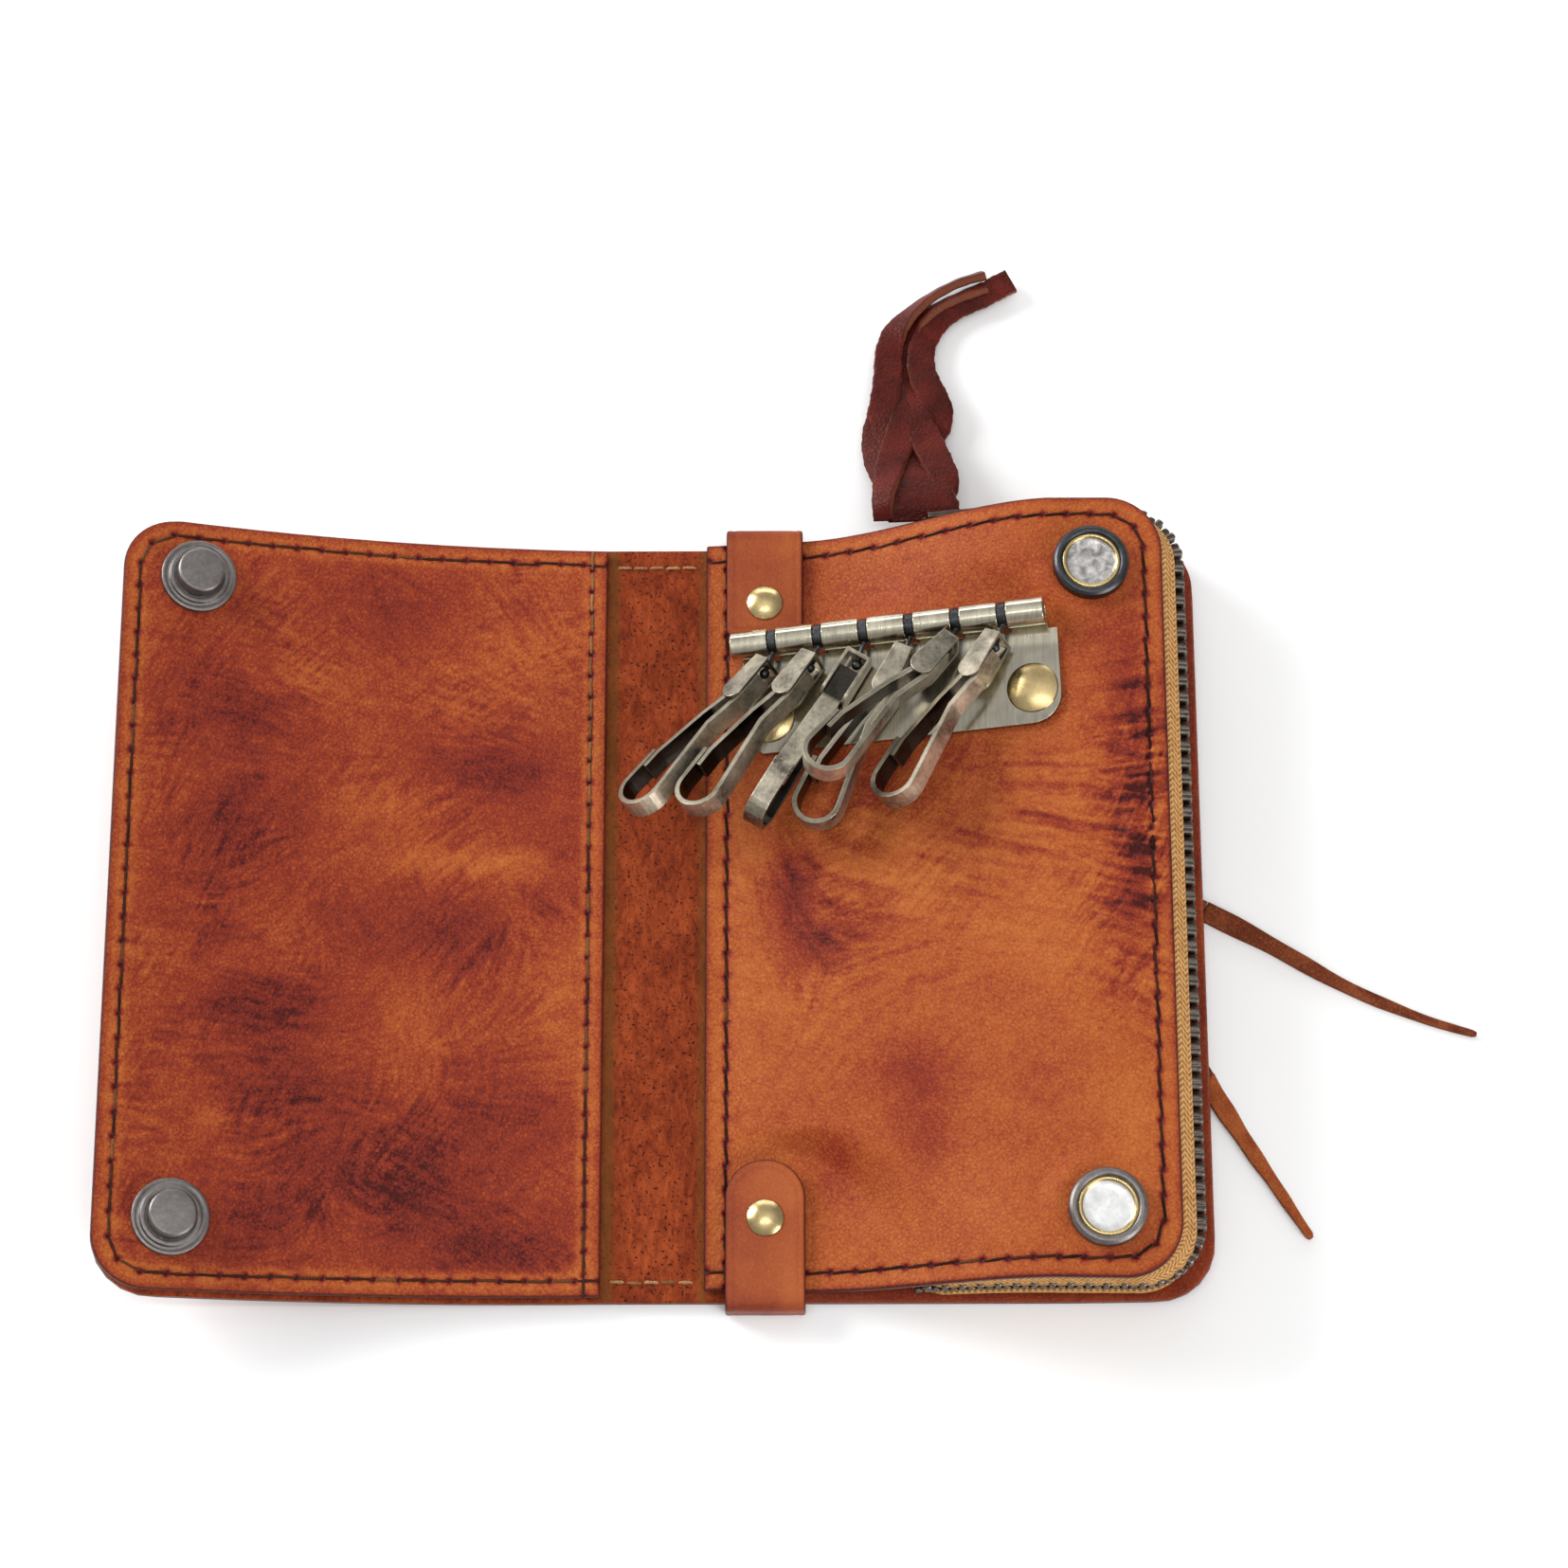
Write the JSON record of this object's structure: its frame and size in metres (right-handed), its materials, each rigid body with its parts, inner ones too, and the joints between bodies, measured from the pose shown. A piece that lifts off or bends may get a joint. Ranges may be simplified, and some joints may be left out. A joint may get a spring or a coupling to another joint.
{
  "type": "key case",
  "caption": "Bifold leather key case lying open, with a row of spring key hooks on a zipped pocket, two ring snaps, a braided zip puller and a thong with two free laces.",
  "frame": {"origin": "centre of the spine's underside, on the plane the open case lies on", "axes": "+X from the flap across the spine to the zipped pocket, +Y up the case towards the zip puller, +Z off the table"},
  "size_m": [0.2184, 0.1795, 0.0242],
  "materials": {
    "leather": "waxed pull-up leather, orange-brown, mottled",
    "lining_leather": "waxed pull-up leather, orange-brown, mottled",
    "gunmetal": "gunmetal plating",
    "brass_rivet": "bright brass",
    "pan": "plain steel",
    "tab_leather": "smooth tan leather",
    "antique": "antique brass, worn bright at the edges",
    "tape": "tan herringbone tape",
    "zip_teeth": "antique nickel",
    "thong": "brown leather lace",
    "suede": "suede, brown",
    "braid": "dark burgundy leather"
  },
  "bodies": {
    "pocket": {"cover_back": "leather", "pocket_front": "lining_leather", "socket_upper": "gunmetal", "socket_lower": "gunmetal", "spring_rings": "brass_rivet", "socket_backs": "pan", "upper_tab": "tab_leather", "lower_tab": "tab_leather", "tab_rivets": "brass_rivet", "rail_plate": "antique", "rail_pin": "gunmetal", "rail_rivets": "brass_rivet", "zip_tape_upper": "tape", "zip_tape_lower": "tape", "zip_teeth_upper": "zip_teeth", "zip_teeth_lower": "zip_teeth", "lace_thong": "thong", "lace_long": "thong", "lace_short": "thong"},
    "spine": {"cover_spine": "suede"},
    "flap": {"cover_flap": "leather", "flap_lining": "lining_leather", "stud_upper": "gunmetal", "stud_lower": "gunmetal", "stud_caps": "gunmetal"},
    "slider": {"zip_slider": "zip_teeth"},
    "puller": {"slider_bail": "zip_teeth", "zip_puller": "braid"},
    "eye_1": {"eye_1": "antique"},
    "hook_1": {"bracket_1": "antique", "hook_1": "antique"},
    "gate_1": {"gate_1": "antique"},
    "eye_2": {"eye_2": "antique"},
    "hook_2": {"bracket_2": "antique", "hook_2": "antique"},
    "gate_2": {"gate_2": "antique"},
    "eye_3": {"eye_3": "antique"},
    "hook_3": {"bracket_3": "antique", "hook_3": "antique"},
    "gate_3": {"gate_3": "antique"},
    "eye_4": {"eye_4": "antique"},
    "hook_4": {"bracket_4": "antique", "hook_4": "antique"},
    "gate_4": {"gate_4": "antique"},
    "eye_5": {"eye_5": "antique"},
    "hook_5": {"bracket_5": "antique", "hook_5": "antique"},
    "gate_5": {"gate_5": "antique"},
    "eye_6": {"eye_6": "antique"},
    "hook_6": {"bracket_6": "antique", "hook_6": "antique"},
    "gate_6": {"gate_6": "antique"}
  },
  "joints": [
    {"name": "spine_fold", "type": "hinge", "parent": "pocket", "child": "spine", "pos_m": [0.0075, 0, 0.002], "axis": [0, 1, 0], "range_deg": [0, 75]},
    {"name": "flap_fold", "type": "hinge", "parent": "spine", "child": "flap", "pos_m": [-0.0075, 0, 0.002], "axis": [0, 1, 0], "range_deg": [0, 90.2]},
    {"name": "slider_travel", "type": "slide", "parent": "pocket", "child": "slider", "axis": [0.991, 0.0503, 0.1239], "range_m": [0, 0.014]},
    {"name": "puller_swing", "type": "hinge", "parent": "slider", "child": "puller", "pos_m": [0.04616, 0.06825, 0.00638], "axis": [-0.991, -0.0503, -0.1239], "range_deg": [-90, 0]},
    {"name": "hook_swing_1", "type": "hinge", "parent": "pocket", "child": "eye_1", "pos_m": [0.01942, 0.04446, 0.0086], "axis": [0.9737, 0.0384, 0.2248], "range_deg": [-110, 0]},
    {"name": "hook_sway_1", "type": "hinge", "parent": "eye_1", "child": "hook_1", "pos_m": [0.01843, 0.0401, 0.00918], "axis": [-0.0985, 0.1301, 0.9866], "range_deg": [0, 31.8]},
    {"name": "gate_open_1", "type": "hinge", "parent": "hook_1", "child": "gate_1", "pos_m": [0.01571, 0.0378, 0.00882], "axis": [-0.4738, 0.4412, 0.7622], "range_deg": [0, 7], "stiffness_Nm_per_rad": 0.02},
    {"name": "hook_swing_2", "type": "hinge", "parent": "pocket", "child": "eye_2", "pos_m": [0.02682, 0.04475, 0.0103], "axis": [0.9737, 0.0384, 0.2248], "range_deg": [-110, 0]},
    {"name": "hook_sway_2", "type": "hinge", "parent": "eye_2", "child": "hook_2", "pos_m": [0.02579, 0.04042, 0.01104], "axis": [-0.1164, 0.1896, 0.9749], "range_deg": [0, 30.3]},
    {"name": "gate_open_2", "type": "hinge", "parent": "hook_2", "child": "gate_2", "pos_m": [0.02321, 0.03794, 0.01098], "axis": [-0.3617, 0.3534, 0.8627], "range_deg": [0, 7], "stiffness_Nm_per_rad": 0.02},
    {"name": "hook_swing_3", "type": "hinge", "parent": "pocket", "child": "eye_3", "pos_m": [0.03422, 0.04505, 0.01201], "axis": [0.9737, 0.0384, 0.2248], "range_deg": [-110, 0]},
    {"name": "hook_sway_3", "type": "hinge", "parent": "eye_3", "child": "hook_3", "pos_m": [0.03335, 0.04062, 0.0121], "axis": [-0.2244, 0.0757, 0.9715], "range_deg": [0, 23.6]},
    {"name": "gate_open_3", "type": "hinge", "parent": "hook_3", "child": "gate_3", "pos_m": [0.03146, 0.03763, 0.01266], "axis": [0.8487, -0.5252, 0.0623], "range_deg": [0, 7], "stiffness_Nm_per_rad": 0.02},
    {"name": "hook_swing_4", "type": "hinge", "parent": "pocket", "child": "eye_4", "pos_m": [0.04162, 0.04534, 0.01372], "axis": [0.9737, 0.0384, 0.2248], "range_deg": [-110, 0]},
    {"name": "hook_sway_4", "type": "hinge", "parent": "eye_4", "child": "hook_4", "pos_m": [0.04075, 0.04091, 0.01382], "axis": [-0.0471, -0.0155, 0.9988], "range_deg": [0, 21.2]},
    {"name": "gate_open_4", "type": "hinge", "parent": "hook_4", "child": "gate_4", "pos_m": [0.03853, 0.03811, 0.01354], "axis": [-0.208, 0.0656, 0.9759], "range_deg": [0, 7], "stiffness_Nm_per_rad": 0.02},
    {"name": "hook_swing_5", "type": "hinge", "parent": "pocket", "child": "eye_5", "pos_m": [0.04902, 0.04563, 0.01543], "axis": [0.9737, 0.0384, 0.2248], "range_deg": [-110, 0]},
    {"name": "hook_sway_5", "type": "hinge", "parent": "eye_5", "child": "hook_5", "pos_m": [0.04788, 0.04142, 0.01662], "axis": [0.2753, -0.007, 0.9613], "range_deg": [0, 24.1]},
    {"name": "gate_open_5", "type": "hinge", "parent": "hook_5", "child": "gate_5", "pos_m": [0.04505, 0.0393, 0.01711], "axis": [-0.0159, 0.2487, 0.9684], "range_deg": [0, 7], "stiffness_Nm_per_rad": 0.02},
    {"name": "hook_swing_6", "type": "hinge", "parent": "pocket", "child": "eye_6", "pos_m": [0.05642, 0.04592, 0.01714], "axis": [0.9737, 0.0384, 0.2248], "range_deg": [-110, 0]},
    {"name": "hook_sway_6", "type": "hinge", "parent": "eye_6", "child": "hook_6", "pos_m": [0.05546, 0.04154, 0.0176], "axis": [-0.0125, 0.0472, 0.9988], "range_deg": [0, 24.4]},
    {"name": "gate_open_6", "type": "hinge", "parent": "hook_6", "child": "gate_6", "pos_m": [0.05308, 0.03888, 0.0173], "axis": [-0.456, 0.316, 0.832], "range_deg": [0, 7], "stiffness_Nm_per_rad": 0.02}
  ],
  "couplings": [
    {"joint": "spine_fold", "follows": "flap_fold", "ratio": 0.8313},
    {"joint": "hook_sway_1", "follows": "flap_fold", "ratio": 0.3515},
    {"joint": "hook_sway_2", "follows": "flap_fold", "ratio": 0.3351},
    {"joint": "hook_sway_3", "follows": "flap_fold", "ratio": 0.2609},
    {"joint": "hook_sway_4", "follows": "flap_fold", "ratio": 0.2339},
    {"joint": "hook_sway_5", "follows": "flap_fold", "ratio": 0.267},
    {"joint": "hook_sway_6", "follows": "flap_fold", "ratio": 0.2699},
    {"joint": "hook_swing_5", "follows": "hook_swing_4", "ratio": 1}
  ]
}
